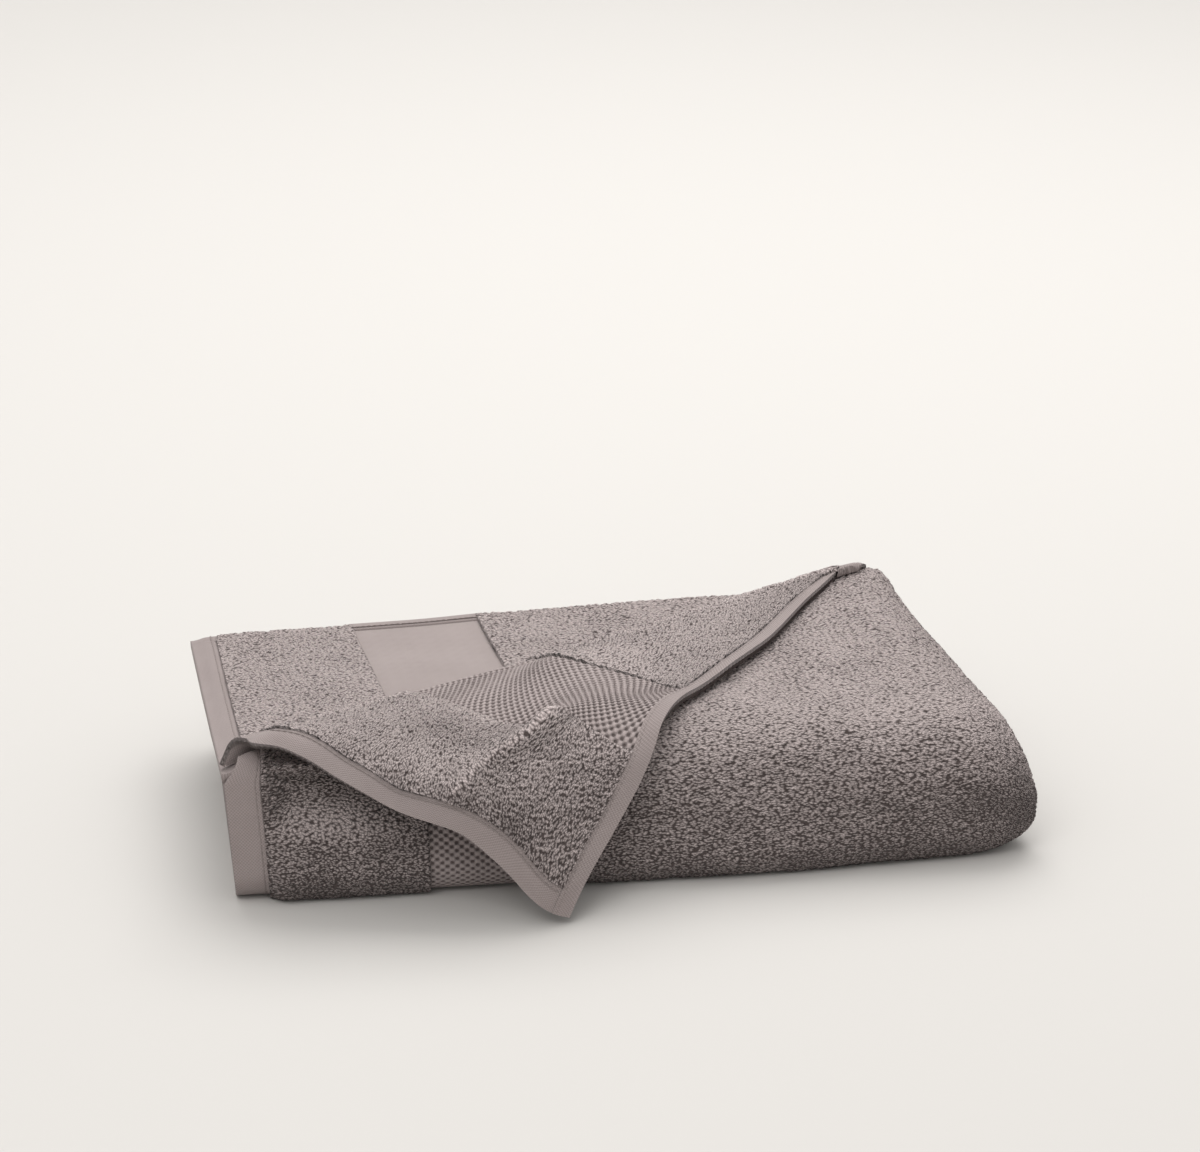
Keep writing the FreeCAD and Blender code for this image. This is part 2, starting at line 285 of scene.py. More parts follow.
MATERIALS = {
    "terry": cloth_material(
        "terry",
        loop_pattern,
        depth=0.0014,
        shaded_gap_colour=(0.085, 0.066, 0.063),
        colour=(0.64, 0.55, 0.54),
        strength=1.0,
        sheen=0.12,
        # painted shade on the terry's upright faces
        painted_upright_shade=0.50,
    ),
    "border": cloth_material(
        "border",
        honeycomb_pattern,
        depth=0.0008,
        shaded_gap_colour=(0.11, 0.088, 0.085),
        colour=(0.40, 0.342, 0.335),
        strength=1.0,
        sheen=0.10,
    ),
    "plain_border": cloth_material(
        "plain_border",
        hem_pattern,
        depth=0.0003,
        shaded_gap_colour=(0.26, 0.22, 0.214),
        colour=(0.37, 0.32, 0.311),
        strength=0.6,
        sheen=0.10,
    ),
    "hem": cloth_material(
        "hem",
        hem_pattern,
        depth=0.0003,
        shaded_gap_colour=(0.24, 0.202, 0.197),
        colour=(0.35, 0.30, 0.293),
        strength=0.6,
        sheen=0.10,
    ),
    "thread": cloth_material(
        "thread",
        thread_pattern,
        depth=0.0002,
        shaded_gap_colour=(0.18, 0.15, 0.145),
        colour=(0.36, 0.31, 0.30),
        strength=0.5,
        sheen=0.08,
    ),
}

# ---------------------------------------------------------------- meshes of cloth


def add_mesh(name, verts, quads, uvs, slot, shade=None):
    """A smooth mesh object from points in millimetres and rows of four point numbers."""
    mesh = bpy.data.meshes.new(name)
    mesh.vertices.add(len(verts))
    mesh.vertices.foreach_set("co", (np.asarray(verts) * MM).astype(np.float32).ravel())
    mesh.loops.add(4 * len(quads))
    mesh.loops.foreach_set("vertex_index", np.asarray(quads, np.int32).ravel())
    mesh.polygons.add(len(quads))
    mesh.polygons.foreach_set("loop_start", np.arange(0, 4 * len(quads), 4, dtype=np.int32))
    mesh.update(calc_edges=True)
    mesh.validate()
    layer = mesh.uv_layers.new(name="cloth")
    corner = np.zeros(len(mesh.loops), np.int32)
    mesh.loops.foreach_get("vertex_index", corner)
    layer.data.foreach_set("uv", (np.asarray(uvs)[corner] * MM).astype(np.float32).ravel())
    mesh.polygons.foreach_set("use_smooth", np.ones(len(mesh.polygons), bool))
    if shade is not None:
        mesh.normals_split_custom_set_from_vertices(shade)
    mesh.materials.append(MATERIALS[slot])
    made = bpy.data.objects.new(name, mesh)
    bpy.context.scene.collection.objects.link(made)
    return made


def normals(points):
    """Unit normals of a grid of points."""
    across = np.gradient(points, axis=0)
    down = np.gradient(points, axis=1)
    n = np.cross(across, down)
    return n / np.maximum(np.linalg.norm(n, axis=2, keepdims=True), 1e-9)


BACK_SHIFT = 5.0  # the back of a cloth shows yarns that lie this far from those of its face


def slab(name, outer, inner, keep, u, w, slot, shaded=False):
    """A closed piece of cloth between two grids of points; keep says which cells it has."""
    rows, cols = outer.shape[:2]
    number = np.arange(rows * cols).reshape(rows, cols)
    a, b = number[:-1, :-1], number[1:, :-1]
    c, d = number[1:, 1:], number[:-1, 1:]
    below = rows * cols
    top = np.stack([a, b, c, d], axis=2)[keep]
    foot = np.stack([d, c, b, a], axis=2)[keep] + below
    faces = [top, foot]
    padded = np.zeros((rows + 1, cols + 1), bool)
    padded[1:-1, 1:-1] = keep
    sides = [
        (padded[:-2, 1:-1], d, a),
        (padded[2:, 1:-1], b, c),
        (padded[1:-1, :-2], a, b),
        (padded[1:-1, 2:], c, d),
    ]
    for neighbour, start, end in sides:
        open_side = keep & ~neighbour
        s, e = start[open_side], end[open_side]
        faces.append(np.stack([s, s + below, e + below, e], axis=1))
    quads = np.concatenate(faces)
    verts = np.concatenate([outer.reshape(-1, 3), inner.reshape(-1, 3)])
    uvs = np.stack([np.concatenate([flat.ravel(), flat.ravel() + BACK_SHIFT]) for flat in (u, w)], axis=1)
    used, quads = np.unique(quads, return_inverse=True)
    shade = None
    if shaded:
        faces_out = np.concatenate([normals(outer).reshape(-1, 3), -normals(inner).reshape(-1, 3)])
        shade = faces_out[used]
    return add_mesh(name, verts[used], quads.reshape(-1, 4), uvs[used], slot, shade)


def stitch_line(name, points, facing):
    """A row of stitches: one thread that dips into the cloth between one stitch and the next."""
    along = np.gradient(points, axis=0)
    along /= np.linalg.norm(along, axis=1, keepdims=True)
    facing = facing - along * np.sum(facing * along, axis=1, keepdims=True)
    facing /= np.linalg.norm(facing, axis=1, keepdims=True)
    across = np.cross(along, facing)
    steps = np.linalg.norm(np.diff(points, axis=0), axis=1)
    run = np.concatenate([[0.0], np.cumsum(steps)])
    lift = np.abs(np.sin(math.pi * run / STITCH_PITCH))
    centre = points + facing * (0.7 * THREAD_RADIUS * (lift - 0.6))[:, None]
    sides = 8
    angle = 2 * math.pi * np.arange(sides) / sides
    thick = THREAD_RADIUS * (0.45 + 0.55 * lift)
    ring = np.cos(angle)[None, :, None] * facing[:, None] + np.sin(angle)[None, :, None] * across[:, None]
    verts = (centre[:, None] + ring * thick[:, None, None]).reshape(-1, 3)
    uvs = np.stack([np.repeat(run, sides), np.tile(angle, len(points))], axis=1)
    i = np.arange(len(points) - 1)[:, None] * sides
    j = np.arange(sides)[None]
    after = (j + 1) % sides
    quads = np.stack([i + j, i + after, i + sides + after, i + sides + j], axis=2).reshape(-1, 4)
    last = (len(points) - 1) * sides
    caps = [[0, k + 2, k + 1, k] for k in (1, 3, 5)]
    caps += [[last, last + k, last + k + 1, last + k + 2] for k in (1, 3, 5)]
    return add_mesh(name, verts, np.concatenate([quads, np.array(caps)]), uvs, "thread")


def lines(stops, step):
    """Grid lines that pass through every stop, about a step apart."""
    found = [np.array([stops[0]])]
    for low, high in zip(stops[:-1], stops[1:]):
        count = max(1, int(round((high - low) / step)))
        found.append(np.linspace(low, high, count + 1)[1:])
    return np.concatenate(found)


def two_step_lines(low, middle, high, low_step, high_step):
    """Grid lines with one step up to the middle stop and another past it."""
    return np.concatenate([lines([low, middle], low_step), lines([middle, high], high_step)[1:]])


def cells(u, low, high):
    """Which cells of a grid lie between two values of u, by their middle."""
    middle = (u[:-1, :-1] + u[1:, 1:]) / 2
    return (middle > low) & (middle < high)


def pack_piece(made, node):
    """A piece that stays with the folded pack and shows one of its nodes."""
    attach(made, "pack")
    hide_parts(node)


# ---------------------------------------------------------------- height of the pack


def pack_top(x, y):
    """Top of the outer layer: the pack is not quite level."""
    a = (x - LEFT) / (RIGHT_FRONT - LEFT)
    b = (y - FRONT) / WIDTH
    front = PACK_HEIGHT - 5.0 * a
    back = 68.0 + 9.0 * np.clip(a / 0.85, 0, 1)
    swell = 1.2 * np.sin(math.pi * np.clip(a, 0, 1)) + 0.8 * soft_noise(x, y, 90.0, 3)
    return front * (1 - b) + back * b + swell


# ---------------------------------------------------------------- outer layer

BOTTOM_RUN = 182.0
FOOT_RADIUS = 16.0
HEM_ROLL = 13.0  # radius of the top front fold at the end hem
FRONT_ROLL = 36.0  # the same away from it
EVEN_RUN = 150.0  # as far as this the cloth lies evenly along the pack
STRAIGHT_END = 330.0  # past this it goes round the right end
OUTER_END = 400.0
CLOSING_HEIGHT = 0.30  # where the right end closes, as a share of the height


def wrap_section(x, q):
    """Middle of the front section at x: q runs along the cloth from under the pack, up the front and
    over the top. Returns y and the height as a share of the pack's height."""
    roll = HEM_ROLL + (FRONT_ROLL - HEM_ROLL) * smooth((x - LEFT - 8) / 48.0)
    height = 72.0
    foot_arc = 0.5 * math.pi * FOOT_RADIUS
    wall = height - FOOT_RADIUS - roll
    top_arc = 0.5 * math.pi * roll
    q1 = q - BOTTOM_RUN
    q2 = q1 - foot_arc
    q3 = q2 - wall
    q4 = q3 - top_arc
    turn = np.clip(q1, 0, foot_arc) / FOOT_RADIUS
    arc = np.clip(q3, 0, None) / roll
    arc = np.clip(arc, 0, 0.5 * math.pi)
    y_foot = FRONT + FOOT_RADIUS - FOOT_RADIUS * np.sin(turn)
    z_foot = FOOT_RADIUS - FOOT_RADIUS * np.cos(turn)
    y = np.where(q1 < 0, FRONT + FOOT_RADIUS - q1, y_foot)
    z = np.where(q1 < 0, 0.0, z_foot)
    z = np.where(q2 > 0, FOOT_RADIUS + np.clip(q2, 0, wall), z)
    y = np.where(q3 > 0, FRONT + roll - roll * np.cos(arc), y)
    z = np.where(q3 > 0, height - roll + roll * np.sin(arc), z)
    y = np.where(q4 > 0, FRONT + roll + np.clip(q4, 0, None), y)
    return y, z / height


def right_end(u, y):
    """Place along the pack, and how open the section is: 1 on the straight run and 0 at the right end."""
    end = RIGHT_FRONT + (RIGHT_BACK - RIGHT_FRONT) * (y - FRONT) / WIDTH
    start = end - CAP
    run = (u - EVEN_RUN) / (STRAIGHT_END - EVEN_RUN)
    x_run = LEFT + EVEN_RUN + run * (start - LEFT - EVEN_RUN)
    x = np.where(u < EVEN_RUN, LEFT + u, x_run)
    phi = np.clip((u - STRAIGHT_END) / (OUTER_END - STRAIGHT_END), 0, 1) * 0.5 * math.pi
    x = np.where(u > STRAIGHT_END, start + CAP * np.sin(phi) ** 0.85, x)
    return x, np.where(u > STRAIGHT_END, np.cos(phi) ** 0.65, 1.0)


def front_face(u, q, y, share):
    """Depth of the outer layer, with its bulge, the belly at its foot and the hollow under the arch."""
    past_fold = q - BOTTOM_RUN
    bulge = 2.0 * np.sin(math.pi * np.clip(share, 0, 1))
    bulge = bulge * smooth(past_fold / 30) * (1 - smooth((past_fold - 90) / 30))
    bulge = bulge * smooth((u + 20.0) / 80.0)
    belly = (4.0 + 6.0 * smooth((u - 14.0) / 10.0)) * (1 - smooth((u - 240.0) / 130.0))
    belly = belly * (1 - smooth(share / 0.75)) * smooth((past_fold + 60.0) / 50.0)
    hollow = 9.0 * smooth((share - 0.42) / 0.25)
    hollow = hollow * smooth((u - 16.0) / 16.0) * (1 - smooth((u - 86.0) / 40.0))
    hollow = hollow * (1 - smooth((y - FRONT - 20.0) / 30.0))
    return y + hollow - bulge - belly


def wrap_point(u, q):
    """Outside face of the outer layer: u from the towel's end hem, round the right end."""
    y, share = wrap_section(LEFT + u, q)
    x, opening = right_end(u, y)
    height = pack_top(x, y)
    share = CLOSING_HEIGHT + (share - CLOSING_HEIGHT) * opening
    y = BACK - (BACK - y) * (1 - 0.10 * (1 - opening))
    lean = 5.0 * (1 - share) * (1 - smooth(u / 150.0))
    lean = lean + 8.0 * smooth((share - 0.80) / 0.20) * (1 - smooth(u / 24.0))
    drift = 0.8 * soft_noise(u, q, 55.0, 5) * smooth((u - 20.0) / 60.0)
    peak = 7.5 * np.exp(-(((x - 161.0) / 15.0) ** 2) - ((y - 124.0) / 17.0) ** 2)
    peak = peak * smooth((share - 0.7) / 0.3)
    return np.stack([x + lean, front_face(u, q, y, share) + drift, height * share + peak], axis=-1)


u_lines = lines([0, END_HEM, BORDER_START, BORDER_END, STRAIGHT_END, OUTER_END], GRID)
q_lines = two_step_lines(0, BOTTOM_RUN - 12, BOTTOM_RUN + 318, 6.0, GRID)
U, Q = np.meshgrid(u_lines, q_lines, indexing="ij")
P = wrap_point(U, Q)
N = normals(P)
near_top = P[..., 2] > 50
side_of_crease = (P[..., :2] - CREASE_START) @ CREASE_NORMAL
in_pack = (P[..., 1] < BACK) & ((side_of_crease > 0.0) | ~near_top)
in_pack_cells = in_pack[:-1, :-1] & in_pack[1:, 1:]
thickness = smooth((OUTER_END - U) / 12)
visible = smooth((Q - BOTTOM_RUN + 10) / 8) * thickness

WRAP_ZONES = [
    ("wrap_end_hem", 0, END_HEM, "hem"),
    ("wrap_terry_end", END_HEM, BORDER_START, "terry"),
    ("wrap_border", BORDER_START, BORDER_END, "border"),
    ("wrap_terry_main", BORDER_END, OUTER_END, "terry"),
]


def relief_of(zone, u, w, seed):
    """Depth of a zone's face over the cloth's woven ground."""
    if zone == "terry":
        return 0.5 * (PILE - WOVEN) + terry_height(u, w, seed)
    if zone == "border":
        return honeycomb(u, w) - 0.6
    return 0.12 * plain_weave(u, w)


pieces = {}
for name, low, high, kind in WRAP_ZONES:
    keep = cells(U, low, high) & in_pack_cells
    face = relief_of(kind, U, Q, 11)
    if name == "wrap_border":
        face = 0.5 * honeycomb(U, Q) - 1.1
    outer = P + N * (face * visible)[..., None]
    outer[..., 2] = np.maximum(outer[..., 2], 0.0)
    inner = P - N * (thickness * (WOVEN + (PILE - WOVEN) * (kind == "terry")))[..., None]
    made = slab(name + "_cloth", outer, inner, keep, U, Q, kind)
    pack_piece(made, name)
    pieces[made.name] = made


def grid_line(points, facing, mask, u, at):
    """The points and normals of a grid along the line of cells at one distance from the towel's end."""
    row = int(np.argmin(np.abs(u[:, 0] - at)))
    wanted = mask[row]
    return points[row][wanted], facing[row][wanted]


sewn = in_pack & (Q > BOTTOM_RUN + 6) & (side_of_crease > 3.0)
seam, seam_facing = grid_line(P, N, sewn, U, STITCH_U)
pack_piece(stitch_line("wrap_end_hem_stitches", seam, seam_facing), "wrap_end_hem_thread")

# ---------------------------------------------------------------- layer under the turned-back corner

UNDER_END = 352.0
UNDER_DEPTH = 7.5  # of its top face under the pack's top
NARROW_HEM = 2.6  # what shows of the side hem beside the terry

def under_point(u, v):
    """Top face of the under layer: u from its end hem, v from the front towards the back."""
    y = FRONT + v
    back = v / WIDTH
    gathered = 4.5 * smooth(u / END_HEM) + 10.0 * back * smooth((u - END_HEM) / 79.0)
    x = LEFT - 7.0 * back + u * (1 + 0.02 * back) - gathered
    x = x - 2.0 * back * smooth((u - BORDER_START) / 66.0)
    z = pack_top(x, y) - UNDER_DEPTH + soft_noise(x, y, 45.0, 21)
    z = z - 1.5 * smooth(1 - u / 12.0)
    return np.stack([x, y, z], axis=-1)


u_lines = lines([0, END_HEM, BORDER_START, BORDER_END, UNDER_END], GRID)
v_lines = lines([4, WIDTH - SIDE_HEM, WIDTH], GRID)
U, V = np.meshgrid(u_lines, v_lines, indexing="ij")
P = under_point(U, V)
N = normals(P)
shown = (P[..., :2] - CREASE_START) @ CREASE_NORMAL < 26.0
shown_cells = shown[:-1, :-1] | shown[1:, 1:]
seam, seam_facing = grid_line(P, N, shown & (V < WIDTH - 2), U, STITCH_U)
pack_piece(stitch_line("under_end_hem_stitches", seam, seam_facing), "under_end_hem_thread")

beside_terry = (U > END_HEM + 0.1) & (U < BORDER_START - 0.1) | (U > BORDER_END - 0.1)
hem_edge = np.where(beside_terry, NARROW_HEM, SIDE_HEM)
side = V[:-1, :-1] > WIDTH - hem_edge[:-1, :-1] - 0.4
UNDER_ZONES = [
    ("under_end_hem", 0, END_HEM, "hem"),
    ("under_terry_end", END_HEM, BORDER_START, "terry"),
    ("under_border", BORDER_START, BORDER_END, "plain_border"),
    ("under_terry_main", BORDER_END, UNDER_END, "terry"),
]
for name, low, high, kind in UNDER_ZONES:
    keep = cells(U, low, high) & shown_cells & ~side
    if kind == "plain_border":
        face = -0.6 + 0.15 * plain_weave(U, V, HEM_YARN)
    else:
        face = relief_of(kind, U, V, 31)
    near_edge = 1.2 * (1 - smooth((WIDTH - V) / 6.0)) * (kind == "terry")
    outer = P + N * (face - near_edge)[..., None]
    inner = P - N * 4.6
    made = slab(name + "_cloth", outer, inner, keep, U, V, kind)
    pack_piece(made, name)
    pieces[made.name] = made

rolled = np.sqrt(np.clip(1 - ((V - WIDTH + 0.5 * SIDE_HEM) / (0.5 * SIDE_HEM)) ** 2, 0, 1))
beside_border = smooth((U - BORDER_START + 2) / 2) * smooth((BORDER_END + 2 - U) / 2)
height = np.where(beside_border > 0.5, 0.7 * rolled, -0.8 + 0.5 * rolled)
outer = P + N * height[..., None]
made = slab("under_side_hem_cloth", outer, P - N * 4.2, shown_cells & side, U, V, "hem")
pack_piece(made, "under_side_hem")
pieces[made.name] = made

column = int(np.argmin(np.abs(V[0] - (WIDTH - SIDE_HEM + 1.6))))
beside = (U[:, column] > BORDER_START - 2) & (U[:, column] < BORDER_END + 2)
seam = (P + N * 0.9)[:, column][beside]
made = stitch_line("under_side_hem_stitches", seam, N[:, column][beside])
pack_piece(made, "under_side_hem_thread")

# ---------------------------------------------------------------- folded sections inside


FOLD_FLOOR = 6.0  # height of the lowest fold's foot
FOLD_STEP = 13.3
FOLD_THICKNESS = 13.6
NOSE = 12.0  # reach of the finer mesh at a fold's rounded edge
FINE_STEP = 1.2
COARSE_STEP = 2.5


def bolster(name, left_gap, back_gap, front_gap, lower, seed):
    """A doubled fold of cloth seen end on: flat, with a round nose at its left and back."""
    upper = lower + FOLD_THICKNESS
    left = LEFT + left_gap
    back = BACK - back_gap
    xs = two_step_lines(left, left + NOSE, RIGHT_BACK - NOSE, FINE_STEP, COARSE_STEP)
    ys = two_step_lines(FRONT + front_gap, back - NOSE, back, COARSE_STEP, FINE_STEP)
    X, Y = np.meshgrid(xs, ys, indexing="ij")
    half = 0.5 * (upper - lower)
    edge = np.minimum.reduce([X - xs[0], ys[-1] - Y, xs[-1] - X, Y - ys[0]])
    round_off = np.sqrt(np.clip(1 - (1 - np.clip(edge / half, 0, 1)) ** 2, 0, 1))
    level = pack_top(X, Y) / PACK_HEIGHT
    centre = 0.5 * (lower + upper) * level
    bump = 0.5 * loops(X, Y, seed) + 0.8 * soft_noise(X, Y, 24.0, seed)
    lift = (half + bump) * round_off * level
    wander = 1.6 * soft_noise(Y, X * 0, 60.0, seed + 2)
    sway = 1.6 * soft_noise(X, Y * 0, 60.0, seed + 3)
    outer = np.stack([X + wander, Y + sway, centre + lift], axis=-1)
    inner = np.stack([X + wander, Y + sway, centre - lift], axis=-1)
    whole = np.ones((len(xs) - 1, len(ys) - 1), bool)
    return slab(name + "_cloth", outer, inner, whole, X + lift, Y - lift, "terry")


for number in range(4):
    node = f"inner_fold_{number + 1}"
    front_gap = 9.0 + 1.7 * number**2
    left_gap = 8.0 + 2 * (number % 2)
    back_gap = 3.0 + 2 * ((number + 1) % 2)
    made = bolster(node, left_gap, back_gap, front_gap, FOLD_FLOOR + FOLD_STEP * number, 50 + 5 * number)
    pack_piece(made, node)
    pieces[made.name] = made

# ---------------------------------------------------------------- turned-back corner

# Places on the corner: distance from the end edge, distance from the side edge, then x, y and z.
END_EDGE = [
    (0, 0, -41, -120, 3),
    (0, 30, -64, -117, 20),
    (0, 50, -78, -114, 35),
    (0, 66, -90, -111, 45),
    (0, 97, -118, -103, 54),
    (0, 115, -134, -98, 62),
    (0, 134, -150, -93, 71),
    (0, 151, -164, -88, 79),
    (0, 163, -174, -83, 82),
    (0, 173, -184, -79, 82),
]
HEM_LINE = [
    (17, 9, -44, -118, 18),
    (17, 33, -62, -115, 37),
    (17, 48, -72, -112, 47),
    (17, 63, -85, -109, 55),
    (17, 75, -95, -106, 59),
    (17, 99, -118, -97, 63),
    (17, 115, -131, -91, 70),
    (17, 129, -143, -86, 76),
    (17, 143, -153, -81, 82),
    (17, 153, -161, -77, 85),
    (17, 167, -173, -73, 86),
]
SIDE_EDGE = [
    (18, 0, -33, -113, 17),
    (43, 0, -19, -102, 35),
    (71, 0, -4, -90, 55),
    (102, 0, 9, -74, 76),
    (141, 0, 28, -41, 80),
    (187, 0, 57, -4, 80),
    (227, 0, 81, 28, 80),
    (283, 0, 109, 76, 81),
    (327, 0, 133, 113, 82),
]
BORDER_NEAR = [
    (96, 9, -5, -82, 70),
    (96, 30, -27, -75, 81),
    (96, 50, -40, -70, 86),
    (96, 66, -53, -72, 80),
    (96, 90, -75, -59, 81),
    (96, 104, -85, -49, 82),
]
BORDER_FAR = [
    (162, 12, 26, -32, 79),
    (162, 36, 13, -24, 80),
    (162, 60, -9, -8, 82),
    (162, 84, -31, 6, 84),
]
RIDGE = [
    (56, 60, -70, -92, 72),
    (56, 95, -98, -72, 77),
]
LANDMARKS = np.array(END_EDGE + HEM_LINE + SIDE_EDGE + BORDER_NEAR + BORDER_FAR + RIDGE, float)

FLAP_LENGTH = 350.0
FLAP_WIDTH = 197.0
FLAT_START = np.array([0.0, FLAP_WIDTH])
FLAT_DIR = np.array([FLAP_LENGTH, -FLAP_WIDTH]) / math.hypot(FLAP_LENGTH, FLAP_WIDTH)
FLAT_NORMAL = np.array([FLAT_DIR[1], -FLAT_DIR[0]])
ROLL = 4.4  # radius of the cloth's middle round the crease
WIDE_ROLL = 5.6  # the same at the end hem
CREASE_LENGTH = math.hypot(FLAP_LENGTH, FLAP_WIDTH)


def crease_coordinates(u, w):
    """Distance along the crease from its left end, and distance from it into the corner."""
    du, dw = u - FLAT_START[0], w - FLAT_START[1]
    return du * FLAT_DIR[0] + dw * FLAT_DIR[1], du * FLAT_NORMAL[0] + dw * FLAT_NORMAL[1]


def crease_point(u, w):
    """The corner as if it lay flat over the pack, its far side rolled round the crease.

    Where an edge of the towel crosses the crease it runs round the roll as a helix."""
    along, into = crease_coordinates(u, w)
    at_hem = 1 - smooth(along / 60.0)
    at_point = smooth((along - CREASE_LENGTH + 60.0) / 60.0)
    radius = ROLL + (WIDE_ROLL - ROLL) * at_hem
    near = 1 - smooth(into / 40.0)
    into_top = np.clip(into, 0, None)
    furthest = math.pi * (1 - 0.5 * at_hem)
    turn = np.clip(-into / radius, 0, furthest)
    tail = np.clip(-into - furthest * radius, 0, None)
    offset = into_top - radius * np.sin(turn) - tail * np.cos(furthest)
    lost = np.abs(into) - offset
    shift = near * 12.0 * at_hem - 1.78 * lost * at_point
    foot = CREASE_START + (along + shift)[..., None] * CREASE_DIR
    level = pack_top(foot[..., 0], foot[..., 1])
    xy = foot + offset[..., None] * CREASE_NORMAL
    height = level + 0.4 + radius * np.cos(turn) - tail * np.sin(furthest)
    height = height - 15.0 * smooth((along - CREASE_LENGTH + 8.0) / 26.0)
    return np.concatenate([xy, height[..., None]], axis=-1)


def kernel(distance):
    """Thin-plate spline."""
    return np.where(distance > 1e-6, distance**2 * np.log(np.maximum(distance, 1e-6)), 0.0)


def spline(places, values, smoothing):
    """A smooth surface through the values at the places."""
    count = len(places)
    distance = np.linalg.norm(places[:, None] - places[None], axis=2)
    matrix = np.zeros((count + 3, count + 3))
    matrix[:count, :count] = kernel(distance) + smoothing * np.eye(count)
    matrix[:count, count] = 1
    matrix[:count, count + 1 :] = places
    matrix[count:, :count] = matrix[:count, count:].T
    right = np.zeros((count + 3, values.shape[1]))
    right[:count] = values
    return np.linalg.solve(matrix, right)


held = [(t * FLAP_LENGTH, (1 - t) * FLAP_WIDTH) for t in np.linspace(0.0, 1.0, 15)]
held += [(t * FLAP_LENGTH + 8, (1 - t) * FLAP_WIDTH + 14) for t in np.linspace(0.0, 1.0, 8)]
held = np.array(held)
places = np.concatenate([LANDMARKS[:, :2], held])
wanted = LANDMARKS[:, 2:] - crease_point(LANDMARKS[:, 0], LANDMARKS[:, 1])
wanted = np.concatenate([wanted, np.zeros((len(held), 3))])
weights = spline(places, wanted, 2.0)


def corner_point(u, w):
    """Middle of the cloth of the turned-back corner, at rest."""
    base = crease_point(u, w)
    flat = np.stack([u, w], axis=-1)
    shift = np.zeros(base.shape)
    for place, weight in zip(places, weights[: len(places)]):
        shift += kernel(np.linalg.norm(flat - place, axis=-1))[..., None] * weight
    a, b, c = weights[len(places) :]
    shift += a + u[..., None] * b + w[..., None] * c
    along, into = crease_coordinates(u, w)
    shift *= smooth(into / 6.0)[..., None]
    return base + shift


def pressed_fold(u, w):
    """How high the old fold line stands, where the towel was once folded the other way."""
    line = 51.0 + (96.0 - u) * 0.30
    sharp = np.clip(1 - np.abs(w - line) / 13.0, 0, 1)
    along = smooth((u - 12) / 16.0) * smooth((104.0 - u) / 10.0)
    return 3.0 * along * sharp**1.4


CORNER_END = 382.0
CORNER_SIDE = 222.0
u_lines = lines([0, END_HEM, BORDER_START, BORDER_END, CORNER_END], GRID)
w_lines = lines([0, SIDE_HEM, CORNER_SIDE], GRID)
U, W = np.meshgrid(u_lines, w_lines, indexing="ij")
P = corner_point(U, W)
P = P + normals(P) * pressed_fold(U, W)[..., None]
N = normals(P)
along, into = crease_coordinates(U, W)
tail_end = math.pi * ROLL + 2.0 + 0.5 * (1 - smooth(along / 40.0))
in_corner = into > -tail_end
corner_cells = in_corner[:-1, :-1] & in_corner[1:, 1:]
middle = (P[:-1, :-1] + P[1:, 1:]) / 2
middle_into = (into[:-1, :-1] + into[1:, 1:]) / 2

# The corner is split into the panel past the crease and the tip past the front fold.
TIP_START = Vector((-60.0, -70.0, 80.0)) * MM
TIP_END = Vector((-60.0, -92.0, 66.0)) * MM
tip_way = TIP_END - TIP_START
past_start = (middle - np.array(TIP_START) / MM) @ np.array(tip_way) / tip_way.length
in_tip = (past_start > -1.0) & (middle_into > 14.0)

side = W[:-1, :-1] < SIDE_HEM - 0.5
FLAP_ZONES = [
    ("end_hem", 0, END_HEM, "hem"),
    ("terry_end", END_HEM, BORDER_START, "terry"),
    ("border", BORDER_START, BORDER_END, "border"),
    ("terry_main", BORDER_END, CORNER_END, "terry"),
]


def follow(made, tip):
    """Bakes the placement of a piece of the corner into its mesh, for the panel and the tip alike."""
    if tip:
        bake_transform(made)
    else:
        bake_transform(made)


def corner_piece(name, kind, keep, tip, height):
    """One woven zone of the corner, between its face and its back."""
    outer = P + N * (0.5 * WOVEN + height)[..., None]
    behind = relief_of(kind, U, W + 400, 91) if kind == "terry" else 0.1 * plain_weave(U, W)
    inner = P - N * (0.5 * WOVEN + behind)[..., None]
    made = slab(name, outer, inner, keep, U, W, kind, shaded=True)
    follow(made, tip)
    pieces[name] = made


for tip in (False, True):
    part = in_tip if tip else ~in_tip
    prefix = "tip" if tip else "flap"
    for zone, low, high, kind in FLAP_ZONES:
        past_border = low >= BORDER_START
        if past_border and tip:
            continue
        keep = cells(U, low, high) & corner_cells & ~side & (part | past_border)
        if keep.any():
            corner_piece(f"{prefix}_{zone}_cloth", kind, keep, tip, relief_of(kind, U, W, 71))
    keep = corner_cells & side & part
    corner_piece(f"{prefix}_side_hem_cloth", "hem", keep, tip, 0.4 + relief_of("hem", U, W, 71))

tip_node = np.zeros(U.shape, bool)
tip_node[:-1, :-1] = in_tip
column = int(np.argmin(np.abs(W[0] - (SIDE_HEM - 1.8))))
row = int(np.argmin(np.abs(U[:, 0] - STITCH_U)))
face = P + N * (0.5 * WOVEN + 0.5)
past_roll = into[:, column] > -4
past_side_hem = W[row] > SIDE_HEM
SEAMS = [
    ("tip_side_hem", True, face[:, column], N[:, column], tip_node[:, column]),
    ("flap_side_hem", False, face[:, column], N[:, column], ~tip_node[:, column] & past_roll),
    ("tip_end_hem", True, face[row], N[row], tip_node[row] & past_side_hem),
]
for hem, tip, seam, seam_facing, mask in SEAMS:
    made = stitch_line(hem + "_stitches", seam[mask] - 0.3 * seam_facing[mask], seam_facing[mask])
    follow(made, tip)
    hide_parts(hem + "_thread")

